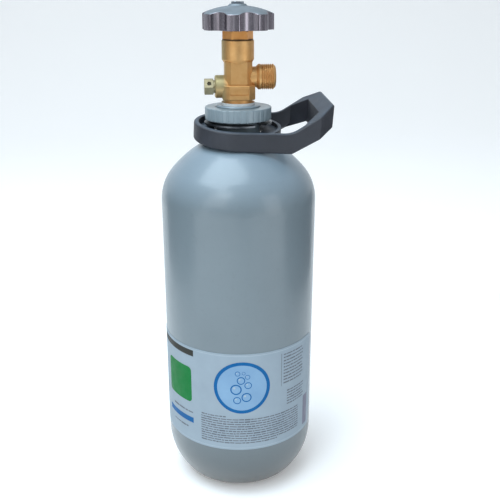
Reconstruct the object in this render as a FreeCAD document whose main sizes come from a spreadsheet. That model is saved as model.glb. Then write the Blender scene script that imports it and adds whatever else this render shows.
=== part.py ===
import FreeCAD, Part
import math
import os

import Sketcher

# Driving dimensions, in millimetres and degrees.  +Z is up along the cylinder's axis, the origin is
# the centre of the standing base and +X is the direction of the valve outlet.
DIMENSIONS = {
    # Steel cylinder
    "barrel_radius": 70,
    "shell_wall": 4,
    "base_curve_height": 48,
    "base_side_radius": 60,
    "foot_radius": 34.5,
    "foot_inner_radius": 28,
    "base_hollow": 9,
    "shoulder_start": 279,
    "knuckle_radius": 42,
    "knuckle_angle": 40,
    "crown_radius": 105,
    "neck_radius": 19.4,
    "neck_fillet": 4,
    "neck_top": 363.4,
    "neck_edge": 0.8,
    "neck_bore_gap": 0.35,
    "snap_groove_bottom": 347.1,
    "snap_groove_height": 1.8,
    "snap_groove_depth": 0.6,
    # Neck ring
    "neck_ring_radius": 29.3,
    "neck_ring_bottom": 350.8,
    "neck_ring_top": 361.8,
    "neck_ring_edge": 0.8,
    "neck_ring_flutes": 32,
    "flute_radius": 2.4,
    "flute_depth": 0.35,
    # Retaining ring under the neck ring
    "snap_ring_inner": 18.9,
    "snap_ring_outer": 30,
    "snap_ring_bottom": 347.3,
    "snap_ring_height": 1.4,
    "snap_ring_edge": 0.6,
    "snap_ring_sweep": 332,
    "snap_ring_start": -37,
    # Carry handle, in its own frame: length along x, width along y, top plane at zero
    "handle_top": 348,
    "handle_yaw": 1.5,
    "handle_droop": 2.4,
    "handle_roll": 5.2,
    "handle_half_width": 39.2,
    "handle_wall": 4.6,
    "handle_bend": 42,
    "handle_rise": 33.7,
    "handle_bend_radius": 21,
    "handle_end": 79.5,
    "handle_end_half": 26,
    "handle_end_chamfer": 13.4,
    "handle_band_height": 15.9,
    "handle_bend_height": 17.7,
    "handle_end_height": 21.8,
    "handle_low_bend": 43.2,
    "handle_edge": 2,
    "handle_low_ease": 2.4,
    "handle_inner_edge": 1,
    "grip_corner": 4,
    "grip_thickness": 13,
    "hub_bore": 21.5,
    "hub_radius": 38.4,
    "hub_lip": 3,
    "hub_lip_top": 2.5,
    "hub_web_top": 6,
    "hub_web_bottom": 9.6,
    # Label
    "label_bottom": 56,
    "label_height": 98.2,
    "label_gap": 0.03,
    "label_thickness": 0.25,
    "label_start": -195,
    "label_sweep": 172,
    "label_corner": 6,
    # Valve body
    "stem_bottom": 336,
    "stem_top": 366,
    "stem_top_radius": 14.4,
    "stem_taper": 0.06,
    "tape_gap": 0.01,
    "tape_thickness": 0.32,
    "tape_bottom": 338,
    "tape_top": 365.6,
    "stem_neck_radius": 12.8,
    "block_width": 28.5,
    "block_bottom": 368.2,
    "block_top": 381,
    "block_corner": 5.7,
    "block_edge": 1.2,
    "panel_width": 16,
    "panel_height": 5.4,
    "panel_depth": 1.3,
    "panel_centre": 375.3,
    "square_width": 23.6,
    "square_chamfer": 4.8,
    "square_top": 400.4,
    "barrel_step": 402,
    "barrel_cone_radius": 11.4,
    "barrel_cone_height": 4,
    "valve_barrel_radius": 14,
    "valve_barrel_top": 418.5,
    "valve_barrel_edge": 0.8,
    "inlet_radius": 2.5,
    "chamber_radius": 8,
    "chamber_floor": 381.5,
    "chamber_top": 404,
    "seat_lip_radius": 4,
    "seat_lip_height": 1,
    "gland_bore": 10,
    # Valve outlet
    "outlet_height": 387,
    "outlet_shank_radius": 8.8,
    "outlet_thread_radius": 10.92,
    "outlet_thread_start": 15.6,
    "outlet_end": 32.4,
    "outlet_lead_in": 2.2,
    "outlet_end_chamfer": 1.9,
    "thread_pitch": 1.814,
    "thread_depth": 0.95,
    "thread_crest": 0.45,
    "thread_root": 0.3,
    "thread_turns": 6,
    "outlet_bore": 4,
    # Safety device
    "safety_height": 379,
    "boss_radius": 9.8,
    "boss_end": 20.2,
    "boss_edge": 0.8,
    "safety_bore": 5.1,
    "safety_seat": 12.5,
    "safety_passage": 1.5,
    "gasket_thickness": 0.5,
    "gasket_radius": 4.9,
    "gasket_hole_radius": 2,
    "disc_thickness": 0.3,
    "stack_gap": 0.02,
    "plug_thread_radius": 4.95,
    "plug_neck_radius": 5.5,
    "plug_neck_end": 21.7,
    "plug_end": 29.4,
    "plug_flats": 13,
    "plug_vent_radius": 1.6,
    "plug_vent_end": 26.6,
    "plug_hole_radius": 1.85,
    "plug_hole_centre": 25.4,
    "plug_hole_tilt": 60,
    # Gland nut and its seals
    "gland_flats": 23,
    "gland_turn": 2,
    "gland_seat_gap": 0.4,
    "gland_top": 426,
    "gland_thread_radius": 9.94,
    "gland_bottom": 409,
    "gland_hole": 4.55,
    "gland_washer_outer": 13.3,
    "washer_gap": 0.03,
    "thrust_washer_hole": 4.57,
    "hex_chamfer": 1,
    # Spindle
    "spindle_radius": 4.48,
    "collar_radius": 8.8,
    "collar_bottom": 405,
    "collar_top": 408,
    "seal_groove_bottom": 413.6,
    "seal_groove_height": 1.7,
    "seal_groove_radius": 3.3,
    "seal_wire_radius": 0.6,
    "spindle_shoulder": 426.6,
    "drive_width": 6.3,
    "drive_top": 439,
    "spindle_tip_radius": 2.9,
    "spindle_tip": 449,
    "spindle_tip_edge": 0.6,
    "tang_width": 10,
    "tang_thickness": 3,
    "tang_bottom": 395,
    # Valve plug
    "plug_bottom": 383.3,
    "plug_nose_radius": 5.4,
    "plug_nose_top": 390.4,
    "plug_radius": 7.92,
    "plug_top": 399,
    "plug_edge": 0.5,
    "plug_nose_flare": 1,
    "plug_slot_bottom": 391.4,
    "plug_slot_gap": 0.06,
    "seat_radius": 4.2,
    "seat_bottom": 382.55,
    "seat_top": 385.2,
    # Handwheel
    "wheel_radius": 31,
    "wheel_bottom": 426.7,
    "wheel_crown": 446.5,
    "wheel_crown_radius": 75,
    "wheel_lobes": 7,
    "wheel_first_lobe": -102,
    "wheel_valley": 26.4,
    "wheel_valley_radius": 11.5,
    "wheel_lobe_rounding": 2.2,
    "wheel_edge": 0.9,
    "wheel_nut_edge": 0.45,
    "wheel_hub_draft": 0.6,
    "wheel_skirt_draft": 0.8,
    "wheel_web_fall": 0.9,
    "wheel_boss_foot": 1,
    "wheel_boss_edge": 0.5,
    "wheel_skirt_inner": 21.6,
    "wheel_web_bottom": 438.2,
    "wheel_hub_radius": 8.6,
    "wheel_boss_radius": 7.3,
    "wheel_boss_top": 447.6,
    "wheel_recess_radius": 5.6,
    "drive_gap": 0.05,
    # Spring, washer and nut in the handwheel's recess
    "spring_radius": 4.3,
    "spring_wire": 0.45,
    "spring_pitch": 1.6,
    "spring_bottom": 439.6,
    "spring_height": 4.6,
    "wheel_washer_bottom": 445.1,
    "wheel_washer_height": 0.8,
    "wheel_washer_outer": 5.3,
    "wheel_nut_flats": 9.4,
    "wheel_nut_top": 449.4,
    "wheel_nut_hole": 3,
}

XZ_PLANE = "XZ_Plane"
XY_PLANE = "XY_Plane"


class Size:
    """A length or angle: its number, and the sheet expression that keeps it bound."""

    def __init__(self, value, text):
        self.value = value
        self.text = text

    def __add__(self, other):
        other = as_size(other)
        return Size(self.value + other.value, f"({self.text} + {other.text})")

    def __radd__(self, other):
        return as_size(other) + self

    def __sub__(self, other):
        other = as_size(other)
        return Size(self.value - other.value, f"({self.text} - {other.text})")

    def __rsub__(self, other):
        return as_size(other) - self

    def __mul__(self, other):
        other = as_size(other)
        return Size(self.value * other.value, f"({self.text} * {other.text})")

    def __rmul__(self, other):
        return as_size(other) * self

    def __truediv__(self, other):
        other = as_size(other)
        return Size(self.value / other.value, f"({self.text} / {other.text})")

    def __neg__(self):
        return Size(-self.value, f"(0 - {self.text})")


def as_size(number):
    return number if isinstance(number, Size) else Size(float(number), repr(float(number)))


def root(size):
    return Size(math.sqrt(size.value), f"sqrt({size.text})")


def cosine(size):
    return Size(math.cos(math.radians(size.value)), f"cos({size.text})")


def sine(size):
    return Size(math.sin(math.radians(size.value)), f"sin({size.text})")


def tangent(size):
    return sine(size) / cosine(size)


ZERO = as_size(0)

doc = FreeCAD.newDocument("gas_cylinder")
sheet = doc.addObject("Spreadsheet::Sheet", "Dimensions")
for row, (alias, number) in enumerate(DIMENSIONS.items(), start=1):
    sheet.set(f"A{row}", alias)
    sheet.set(f"B{row}", str(number))
    sheet.setAlias(f"B{row}", alias)
doc.recompute()


def dim(alias):
    """The sheet's cell of this alias, as a Size."""
    return Size(float(sheet.get(alias)), f"Dimensions.{alias}")


# ---------------------------------------------------------------- helpers


def bind(thing, **sizes):
    """Bind the properties of an object to their sheet expressions."""
    for name, size in sizes.items():
        thing.setExpression(name, as_size(size).text)


def place(thing, x=0, y=0, z=0, yaw=0, pitch=0, roll=0):
    """Bind an object's Placement."""
    base = "; ".join(as_size(part).text for part in (x, y, z))
    turn = "; ".join(as_size(part).text for part in (yaw, pitch, roll))
    thing.setExpression("Placement", f"placement(vector({base}); rotation({turn}))")


def cylinder(name, radius, height, **where):
    thing = doc.addObject("Part::Cylinder", name)
    bind(thing, Radius=radius, Height=height)
    place(thing, **where)
    return thing


def cone(name, low_radius, high_radius, height, **where):
    thing = doc.addObject("Part::Cone", name)
    bind(thing, Radius1=low_radius, Radius2=high_radius, Height=height)
    place(thing, **where)
    return thing


def box(name, length, width, height, x=0, y=0, z=0, **turn):
    """A box centred on x and y, standing on z."""
    thing = doc.addObject("Part::Box", name)
    bind(thing, Length=length, Width=width, Height=height)
    place(thing, x=x - as_size(length) / 2, y=y - as_size(width) / 2, z=z, **turn)
    return thing


def prism(name, flats, height, **where):
    """A hexagonal prism, by its size across the flats."""
    thing = doc.addObject("Part::Prism", name)
    thing.Polygon = 6
    bind(thing, Circumradius=as_size(flats) / math.sqrt(3), Height=height)
    place(thing, **where)
    return thing


def fuse(name, *shapes):
    thing = doc.addObject("Part::MultiFuse", name)
    thing.Shapes = list(shapes)
    thing.Refine = True
    return thing


def common(name, *shapes):
    thing = doc.addObject("Part::MultiCommon", name)
    thing.Shapes = list(shapes)
    return thing


def cut(name, base, *tools):
    thing = doc.addObject("Part::Cut", name)
    thing.Base = base
    thing.Tool = tools[0] if len(tools) == 1 else fuse(name + "_tools", *tools)
    thing.Refine = True
    return thing


def ring(name, inner, outer, height, **where):
    """A flat washer or ring."""
    inside = cylinder(name + "_inside", inner, height, **where)
    return cut(name, cylinder(name + "_disc", outer, height, **where), inside)


def rounded(name, base, radius, wanted):
    """Fillet the edges of base that the function wanted accepts."""
    doc.recompute()
    size = radius.value
    thing = doc.addObject("Part::Fillet", name)
    thing.Base = base
    thing.Edges = [(n, size, size) for n, edge in enumerate(base.Shape.Edges, 1) if wanted(edge)]
    return thing


def chamfered(name, base, radius, wanted):
    """Chamfer the edges of base that the function wanted accepts."""
    doc.recompute()
    size = radius.value
    thing = doc.addObject("Part::Chamfer", name)
    thing.Base = base
    thing.Edges = [(n, size, size) for n, edge in enumerate(base.Shape.Edges, 1) if wanted(edge)]
    return thing


def middle(edge):
    return edge.valueAt((edge.FirstParameter + edge.LastParameter) / 2)


def is_vertical(edge):
    if len(edge.Vertexes) < 2:
        return False
    ends = edge.Vertexes[1].Point - edge.Vertexes[0].Point
    return abs(ends.z) > 0.99 * ends.Length


def new_sketch(body, plane_role, name):
    sketch = body.newObject("Sketcher::SketchObject", name)
    planes = [item for item in body.Origin.OriginFeatures if item.Role == plane_role]
    sketch.AttachmentSupport = (planes[0], [""])
    sketch.MapMode = "FlatFace"
    return sketch


def arc_between(start, end, radius):
    """An arc of this radius: to the left of the way from start to end when radius is positive."""
    chord = end - start
    half = chord.Length / 2
    across = FreeCAD.Vector(-chord.y, chord.x, 0).normalize()
    sagitta = abs(radius) - math.sqrt(max(radius * radius - half * half, 0))
    bulge = -sagitta if radius > 0 else sagitta
    return Part.Arc(start, (start + end) / 2 + across * bulge, end)


def draw_outline(sketch, points):
    """A closed outline.  A point is (x, y), or (x, y, radius) where an arc leads on to the next point;
    the arc turns left when its radius is positive."""
    spots = [FreeCAD.Vector(as_size(p[0]).value, as_size(p[1]).value, 0) for p in points]
    first = sketch.GeometryCount
    count = len(points)
    joints = []
    for index, point in enumerate(points):
        start = spots[index]
        end = spots[(index + 1) % count]
        if len(point) == 2:
            sketch.addGeometry(Part.LineSegment(start, end), False)
            joints.append((1, 2))
            continue
        sketch.addGeometry(arc_between(start, end, point[2].value), False)
        joints.append((1, 2) if point[2].value > 0 else (2, 1))
    for index in range(count):
        following = (index + 1) % count
        here = (first + index, joints[index][1])
        there = (first + following, joints[following][0])
        sketch.addConstraint(Sketcher.Constraint("Coincident", *here, *there))
    for index, point in enumerate(points):
        corner = (first + index, joints[index][0])
        for kind, size in zip(("DistanceX", "DistanceY"), point[:2]):
            limit = Sketcher.Constraint(kind, -1, 1, *corner, as_size(size).value)
            bind_constraint(sketch, limit, as_size(size))
        if len(point) == 3:
            size = point[2] if point[2].value > 0 else -point[2]
            limit = Sketcher.Constraint("Radius", first + index, size.value)
            bind_constraint(sketch, limit, size)


def draw_circle(sketch, x, y, radius):
    centre = FreeCAD.Vector(x.value, y.value, 0)
    number = sketch.addGeometry(Part.Circle(centre, FreeCAD.Vector(0, 0, 1), radius.value), False)
    bind_constraint(sketch, Sketcher.Constraint("DistanceX", -1, 1, number, 3, x.value), x)
    bind_constraint(sketch, Sketcher.Constraint("DistanceY", -1, 1, number, 3, y.value), y)
    bind_constraint(sketch, Sketcher.Constraint("Radius", number, radius.value), radius)


def bind_constraint(sketch, constraint, size):
    number = sketch.addConstraint(constraint)
    sketch.setExpression(f"Constraints[{number}]", size.text)


def new_body(name):
    return doc.addObject("PartDesign::Body", name)


def turned(name, points, axis="V_Axis"):
    """A body of revolution: (radius, z) points about V_Axis, or (x, radius) points about H_Axis."""
    body = new_body(name)
    sketch = new_sketch(body, XZ_PLANE, name + "_outline")
    draw_outline(sketch, points)
    solid = body.newObject("PartDesign::Revolution", name + "_turned")
    solid.Profile = sketch
    solid.ReferenceAxis = (sketch, [axis])
    solid.Angle = 360
    sketch.Visibility = False
    body.Tip = solid
    return body


def padded(name, plane_role, points, length, midplane=False, holes=()):
    """A body padded from an outline, with further closed outlines as holes in it."""
    body = new_body(name)
    sketch = new_sketch(body, plane_role, name + "_outline")
    draw_outline(sketch, points)
    for hole in holes:
        draw_outline(sketch, hole)
    solid = body.newObject("PartDesign::Pad", name + "_pad")
    solid.Profile = sketch
    solid.Midplane = midplane
    bind(solid, Length=length)
    sketch.Visibility = False
    body.Tip = solid
    return body


# ---------------------------------------------------------------- the steel cylinder


def vessel_wall(inset):
    """The knuckle, crown and base of the vessel, moved inwards by inset, as named points."""
    radius = dim("barrel_radius")
    side = dim("base_side_radius")
    foot = dim("foot_radius")
    rise = dim("base_curve_height")
    side_x = radius - side
    offset = foot - side_x
    foot_curve = (side * side - offset * offset - rise * rise) / (2 * (side - rise))
    share = (side - inset) / (side - foot_curve)
    angle = dim("knuckle_angle")
    knuckle = dim("knuckle_radius")
    crown = dim("crown_radius")
    knuckle_x = radius - knuckle
    return {
        "base_join": (side_x + offset * share, rise - (rise - foot_curve) * share),
        "foot_curve": foot_curve - inset,
        "side_curve": side - inset,
        "shoulder_join": (
            knuckle_x + (knuckle - inset) * cosine(angle),
            dim("shoulder_start") + (knuckle - inset) * sine(angle),
        ),
        "knuckle_curve": knuckle - inset,
        "crown_curve": crown - inset,
        "crown_centre": (
            knuckle_x - (crown - knuckle) * cosine(angle),
            dim("shoulder_start") - (crown - knuckle) * sine(angle),
        ),
    }


def neck_bore_radius(height):
    """The tapered bore of the neck at this height: the valve stem's radius plus the sealing gap."""
    return dim("stem_top_radius") + dim("neck_bore_gap") - dim("stem_taper") * (dim("stem_top") - height)


def make_shell():
    wall = dim("shell_wall")
    outer = vessel_wall(ZERO)
    inner = vessel_wall(wall)
    neck = dim("neck_radius")
    fillet = dim("neck_fillet")
    centre_x, centre_z = outer["crown_centre"]
    reach = outer["crown_curve"] + fillet
    across = neck + fillet - centre_x
    fillet_z = centre_z + root(reach * reach - across * across)
    share = outer["crown_curve"] / reach
    crown_end = (centre_x + across * share, centre_z + (fillet_z - centre_z) * share)
    bore_foot = neck_bore_radius(dim("stem_bottom"))
    bore_across = bore_foot - centre_x
    inner_reach = inner["crown_curve"]
    bore_z = centre_z + root(inner_reach * inner_reach - bore_across * bore_across)
    hollow = dim("base_hollow")
    foot_inner = dim("foot_inner_radius")
    hollow_curve = (foot_inner * foot_inner + hollow * hollow) / (2 * hollow)
    groove = dim("snap_groove_bottom")
    groove_top = groove + dim("snap_groove_height")
    groove_radius = neck - dim("snap_groove_depth")
    radius = dim("barrel_radius")
    return turned(
        "cylinder_shell",
        [
            (ZERO, hollow, -hollow_curve),
            (foot_inner, ZERO),
            (dim("foot_radius"), ZERO, outer["foot_curve"]),
            (*outer["base_join"], outer["side_curve"]),
            (radius, dim("base_curve_height")),
            (radius, dim("shoulder_start"), outer["knuckle_curve"]),
            (*outer["shoulder_join"], outer["crown_curve"]),
            (*crown_end, -fillet),
            (neck, fillet_z),
            (neck, groove),
            (groove_radius, groove),
            (groove_radius, groove_top),
            (neck, groove_top),
            (neck, dim("neck_top") - dim("neck_edge")),
            (neck - dim("neck_edge"), dim("neck_top")),
            (neck_bore_radius(dim("neck_top")), dim("neck_top")),
            (bore_foot, bore_z, -inner["crown_curve"]),
            (*inner["shoulder_join"], -inner["knuckle_curve"]),
            (radius - wall, dim("shoulder_start")),
            (radius - wall, dim("base_curve_height"), -inner["side_curve"]),
            (*inner["base_join"], -inner["foot_curve"]),
            (dim("foot_radius"), wall),
            (foot_inner, wall, hollow_curve),
            (ZERO, hollow + wall),
        ],
    )


def make_neck_ring():
    outer = dim("neck_ring_radius")
    inner = dim("neck_radius") + dim("washer_gap")
    bottom = dim("neck_ring_bottom")
    top = dim("neck_ring_top")
    edge = dim("neck_ring_edge")
    body = turned(
        "neck_ring",
        [
            (inner, bottom),
            (outer - edge, bottom),
            (outer, bottom + edge),
            (outer, top - edge, edge),
            (outer - edge, top),
            (inner + edge, top),
            (inner, top - edge),
        ],
    )
    flute = new_sketch(body, XY_PLANE, "neck_ring_flute")
    draw_circle(flute, outer + dim("flute_radius") - dim("flute_depth"), ZERO, dim("flute_radius"))
    groove = body.newObject("PartDesign::Pocket", "neck_ring_groove")
    groove.Profile = flute
    groove.Type = "ThroughAll"
    groove.Reversed = True
    pattern = body.newObject("PartDesign::PolarPattern", "neck_ring_grooves")
    pattern.Originals = [groove]
    pattern.Axis = (flute, ["N_Axis"])
    pattern.Angle = 360
    bind(pattern, Occurrences=dim("neck_ring_flutes"))
    body.Tip = pattern
    flute.Visibility = False
    return body


def make_snap_ring():
    """The open spring ring that holds the handle down on the neck."""
    height = dim("snap_ring_height")
    base = cylinder(
        "snap_ring_disc",
        dim("snap_ring_outer"),
        height,
        z=dim("snap_ring_bottom"),
        yaw=dim("snap_ring_start"),
    )
    bind(base, Angle=dim("snap_ring_sweep"))
    inside = cylinder("snap_ring_inside", dim("snap_ring_inner"), height, z=dim("snap_ring_bottom"))
    open_ring = cut("snap_ring_open", base, inside)
    return rounded("handle_retaining_ring", open_ring, dim("snap_ring_edge"), is_vertical)


def make_label():
    """The paper label: a thin band round part of the barrel, with rounded corners."""
    radius = dim("barrel_radius")
    inner = radius + dim("label_gap")
    outer = inner + dim("label_thickness")
    bottom = dim("label_bottom")
    height = dim("label_height")
    corner = dim("label_corner")
    corner_turn = corner / radius * 180 / math.pi
    start = dim("label_start")
    sweep = dim("label_sweep")

    def band(name, base, tall, yaw, angle):
        solid = cylinder(name + "_outer", outer, tall, z=base, yaw=yaw)
        bind(solid, Angle=angle)
        core = cylinder(name + "_inner", inner, tall, z=base)
        return cut(name, solid, core)

    tall_part = band("label_middle", bottom, height, start + corner_turn, sweep - 2 * corner_turn)
    wide_part = band("label_wide", bottom + corner, height - 2 * corner, start, sweep)
    pieces = [tall_part, wide_part]
    for side, turn in (("left", start + corner_turn), ("right", start + sweep - corner_turn)):
        for level, z in (("low", bottom + corner), ("high", bottom + height - corner)):
            name = f"label_corner_{side}_{level}"
            pin = cylinder(name + "_pin", corner, outer, z=z, yaw=turn, pitch=90)
            patch = band(name + "_patch", z - corner, 2 * corner, turn - corner_turn, 2 * corner_turn)
            pieces.append(common(name, pin, patch))
    return fuse("label", *pieces)


# ---------------------------------------------------------------- the carry handle


def handle_side():
    """The handle seen from its side, padded across: level round the neck, then bent up to the grip."""
    back = -dim("handle_half_width")
    bend = dim("handle_bend")
    rise = dim("handle_rise")
    end = dim("handle_end")
    end_top = (end - bend) * tangent(rise)
    radius = dim("handle_bend_radius")
    run = radius * tangent(rise / 2)
    low_bend = dim("handle_low_bend")
    low = -dim("handle_bend_height")
    end_low = end_top - dim("handle_end_height")
    return padded(
        "handle_side",
        XZ_PLANE,
        [
            (back, -dim("handle_band_height")),
            (low_bend, low),
            (end, end_low),
            (end, end_top),
            (bend + run * cosine(rise), run * sine(rise), -radius),
            (bend - run, ZERO),
            (back, ZERO),
        ],
        3 * dim("handle_half_width"),
        midplane=True,
    )


def handle_plan_outline(inset, end):
    """The handle seen from above, moved inwards by inset, with its grip end at end."""
    half = dim("handle_half_width") - inset
    shoulder = end - dim("handle_end_chamfer")
    end_half = dim("handle_end_half") - inset / 2
    return [
        (ZERO, -half),
        (shoulder, -half),
        (end, -end_half),
        (end, end_half),
        (shoulder, half),
        (ZERO, half, half),
        (-half, ZERO, half),
    ]


def runs_across(edge):
    if len(edge.Vertexes) < 2:
        return False
    ends = edge.Vertexes[1].Point - edge.Vertexes[0].Point
    return abs(ends.y) > 0.99 * ends.Length


def is_grip_corner(edge):
    """The upright corners of the grip, and the bend in the underside."""
    x = middle(edge).x
    underside_bend = runs_across(edge) and abs(x - DIMENSIONS["handle_low_bend"]) < 0.1
    return underside_bend or (is_vertical(edge) and x > DIMENSIONS["handle_end"] - 15)


def is_band_rim(edge):
    """The edges round the outside of the band, at its top and its underside."""
    at_end = abs(middle(edge).x - DIMENSIONS["handle_end"]) < 0.1
    return not is_vertical(edge) and (not runs_across(edge) or at_end)


def is_inner_rim(edge):
    """The edges round the inside of the open band, at its top."""
    point = middle(edge)
    bend = DIMENSIONS["handle_bend"]
    slope = math.tan(math.radians(DIMENSIONS["handle_rise"]))
    top = max(0, (point.x - bend) * slope)
    inner_half = DIMENSIONS["handle_half_width"] - DIMENSIONS["handle_wall"]
    inner_end = DIMENSIONS["handle_end"] - DIMENSIONS["grip_thickness"]
    at_end = abs(point.x - inner_end) < 0.1
    inside = abs(point.y) < inner_half + 0.1 and point.x < inner_end + 0.1
    level = abs(point.z - top) < 1.5
    return level and inside and not is_vertical(edge) and (not runs_across(edge) or at_end)


def is_inner_low_rim(edge):
    """The edges inside the level band at its underside, eased to clear the bottle's shoulder."""
    point = middle(edge)
    inner_half = DIMENSIONS["handle_half_width"] - DIMENSIONS["handle_wall"]
    low = point.z < 1 - DIMENSIONS["handle_band_height"]
    inside = abs(point.y) < inner_half + 0.1 and point.x < DIMENSIONS["handle_bend"]
    return low and inside and not is_vertical(edge)


def make_handle():
    """One plastic moulding: a deep band round a hub that turns on the neck, and a raised grip."""
    height = 4 * dim("handle_band_height")
    wall = dim("handle_wall")
    outer = padded("handle_outer", XY_PLANE, handle_plan_outline(ZERO, dim("handle_end")), height, True)
    grip_inner = dim("handle_end") - dim("grip_thickness")
    inner = padded("handle_inner", XY_PLANE, handle_plan_outline(wall, grip_inner), 2 * height, True)
    side = handle_side()
    bent = common("handle_bent", outer, side)
    cornered = rounded("handle_cornered", bent, dim("grip_corner"), is_grip_corner)
    edged = rounded("handle_edged", cornered, dim("handle_edge"), is_band_rim)
    open_band = cut("handle_open_band", edged, inner)
    soft_band = rounded("handle_soft_band", open_band, dim("handle_inner_edge"), is_inner_rim)
    band = chamfered("handle_band", soft_band, dim("handle_low_ease"), is_inner_low_rim)
    web_bottom = -dim("hub_web_bottom")
    web_top = -dim("hub_web_top")
    hub = dim("hub_radius")
    web = cylinder("hub_web", hub, web_top - web_bottom, z=web_bottom)
    lip_height = -dim("hub_lip_top") - web_bottom
    lip = ring("hub_lip_ring", hub - dim("hub_lip"), hub, lip_height, z=web_bottom)
    inside = padded("handle_inside", XY_PLANE, handle_plan_outline(wall / 2, grip_inner), height, True)
    plate = common("hub_plate", fuse("hub_parts", web, lip), inside)
    joined = fuse("handle_joined", band, plate)
    handle = cut("carry_handle", joined, cylinder("hub_bore", dim("hub_bore"), height, z=-height / 2))
    place(
        handle,
        z=dim("handle_top"),
        yaw=dim("handle_yaw"),
        pitch=dim("handle_droop"),
        roll=dim("handle_roll"),
    )
    return handle


# ---------------------------------------------------------------- the valve body


def stem_radius(height):
    """The taper of the valve's stem at this height."""
    return dim("stem_top_radius") - dim("stem_taper") * (dim("stem_top") - height)


def wrench_block():
    """The block that a spanner holds, with a shallow panel on its front and back."""
    bottom = dim("block_bottom")
    width = dim("block_width")
    blank = box("block_blank", width, width, dim("block_top") - bottom, z=bottom)
    corners = chamfered("block_corners", blank, dim("block_corner"), is_vertical)

    def is_rim(edge):
        return not is_vertical(edge)

    block = rounded("block_rounded", corners, dim("block_edge"), is_rim)
    depth = dim("panel_depth")
    panel_z = dim("panel_centre") - dim("panel_height") / 2
    panels = [
        box(f"block_panel_{side}", dim("panel_width"), depth, dim("panel_height"), y=offset, z=panel_z)
        for side, offset in (("front", (depth - width) / 2), ("back", (width - depth) / 2))
    ]
    return cut("wrench_block", block, *panels)


def outlet_thread_outline():
    """The outlet's outside, as (x, radius) points: shank, lead-in, thread grooves and end chamfer."""
    shank = dim("outlet_shank_radius")
    major = dim("outlet_thread_radius")
    start = dim("outlet_thread_start")
    end = dim("outlet_end")
    chamfer = dim("outlet_end_chamfer")
    minor = major - dim("thread_depth")
    crest = dim("thread_crest")
    flank = (dim("thread_pitch") - crest - dim("thread_root")) / 2
    points = [(ZERO, ZERO), (end, ZERO), (end, major - chamfer), (end - chamfer, major)]
    x = end - chamfer - crest
    for _ in range(DIMENSIONS["thread_turns"]):
        points.append((x, major))
        points.append((x - flank, minor))
        points.append((x - flank - dim("thread_root"), minor))
        points.append((x - dim("thread_pitch") + crest, major))
        x = x - dim("thread_pitch")
    points.append((start + dim("outlet_lead_in"), major))
    points.append((start, shank))
    points.append((ZERO, shank))
    return points


def valve_cavities():
    """Everything bored out of the valve body."""
    floor = dim("chamber_floor")
    seat_top = floor + dim("seat_lip_height")
    top = dim("valve_barrel_top")
    chamber = cylinder("chamber", dim("chamber_radius"), top - floor, z=floor)
    lip = cylinder("seat_lip", dim("seat_lip_radius"), seat_top - floor, z=floor)
    boss_end = dim("boss_end")
    seat = dim("safety_seat")
    outlet_z = dim("outlet_height")
    safety_z = dim("safety_height")
    return [
        cut("chamber_with_seat", chamber, lip),
        cylinder("inlet", dim("inlet_radius"), floor + 2 - dim("stem_bottom"), z=dim("stem_bottom")),
        cylinder("gland_socket", dim("gland_bore"), top - dim("chamber_top"), z=dim("chamber_top")),
        cylinder("outlet_hole", dim("outlet_bore"), dim("outlet_end"), z=outlet_z, pitch=90),
        cylinder("safety_passage", dim("safety_passage"), boss_end, x=-boss_end, z=safety_z, pitch=90),
        cylinder("safety_socket", dim("safety_bore"), boss_end - seat, x=-boss_end, z=safety_z, pitch=90),
    ]


def make_valve_body():
    bottom = dim("stem_bottom")
    top = dim("stem_top")
    square_bottom = dim("block_top") - 1
    square_top = dim("square_top")
    step = dim("barrel_step")
    cone_bottom = step - dim("barrel_cone_height")
    barrel = dim("valve_barrel_radius")
    barrel_top = dim("valve_barrel_top")
    edge = dim("valve_barrel_edge")
    stem = cone("valve_stem", stem_radius(bottom), stem_radius(top), top - bottom, z=bottom)
    stem_neck = cylinder("stem_neck", dim("stem_neck_radius"), dim("block_bottom") - top, z=top)
    square_width = dim("square_width")
    square = box("square_blank", square_width, square_width, square_top - square_bottom, z=square_bottom)
    neck = chamfered("square_neck", square, dim("square_chamfer"), is_vertical)
    barrel_body = turned(
        "valve_barrel",
        [
            (ZERO, cone_bottom),
            (dim("barrel_cone_radius"), cone_bottom),
            (barrel, step),
            (barrel, barrel_top - edge),
            (barrel - edge, barrel_top),
            (ZERO, barrel_top),
        ],
    )
    outlet = turned("valve_outlet", outlet_thread_outline(), "H_Axis")
    place(outlet, z=dim("outlet_height"))
    boss_end = dim("boss_end")
    boss_edge = dim("boss_edge")
    boss_radius = dim("boss_radius")
    boss = turned(
        "safety_boss",
        [
            (ZERO, ZERO),
            (ZERO, boss_radius),
            (boss_edge - boss_end, boss_radius),
            (-boss_end, boss_radius - boss_edge),
            (-boss_end, ZERO),
        ],
        "H_Axis",
    )
    place(boss, z=dim("safety_height"))
    forging = fuse("valve_forging", stem, stem_neck, wrench_block(), neck, barrel_body, outlet, boss)
    return cut("valve_body", forging, *valve_cavities())


def make_seal_tape():
    """PTFE tape wound on the tapered stem."""
    low = dim("tape_bottom")
    high = dim("tape_top")
    inner = dim("tape_gap")
    outer = inner + dim("tape_thickness")
    return turned(
        "thread_seal_tape",
        [
            (stem_radius(low) + inner, low),
            (stem_radius(low) + outer, low),
            (stem_radius(high) + outer, high),
            (stem_radius(high) + inner, high),
        ],
    )


# ---------------------------------------------------------------- gland, spindle and plug


def chamfered_hex(name, flats, height, chamfer, **where):
    """A hexagon whose corners are turned off at its top."""
    rough = prism(name + "_rough", flats, height, **where)
    corner = as_size(flats) / math.sqrt(3) + 0.01
    tall = cylinder(name + "_round", corner, height, **where)
    doc.recompute()
    top = max(vertex.Z for vertex in tall.Shape.Vertexes)

    def is_top(edge):
        return abs(middle(edge).z - top) < 0.01

    return common(name, rough, chamfered(name + "_turned", tall, chamfer, is_top))


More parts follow.
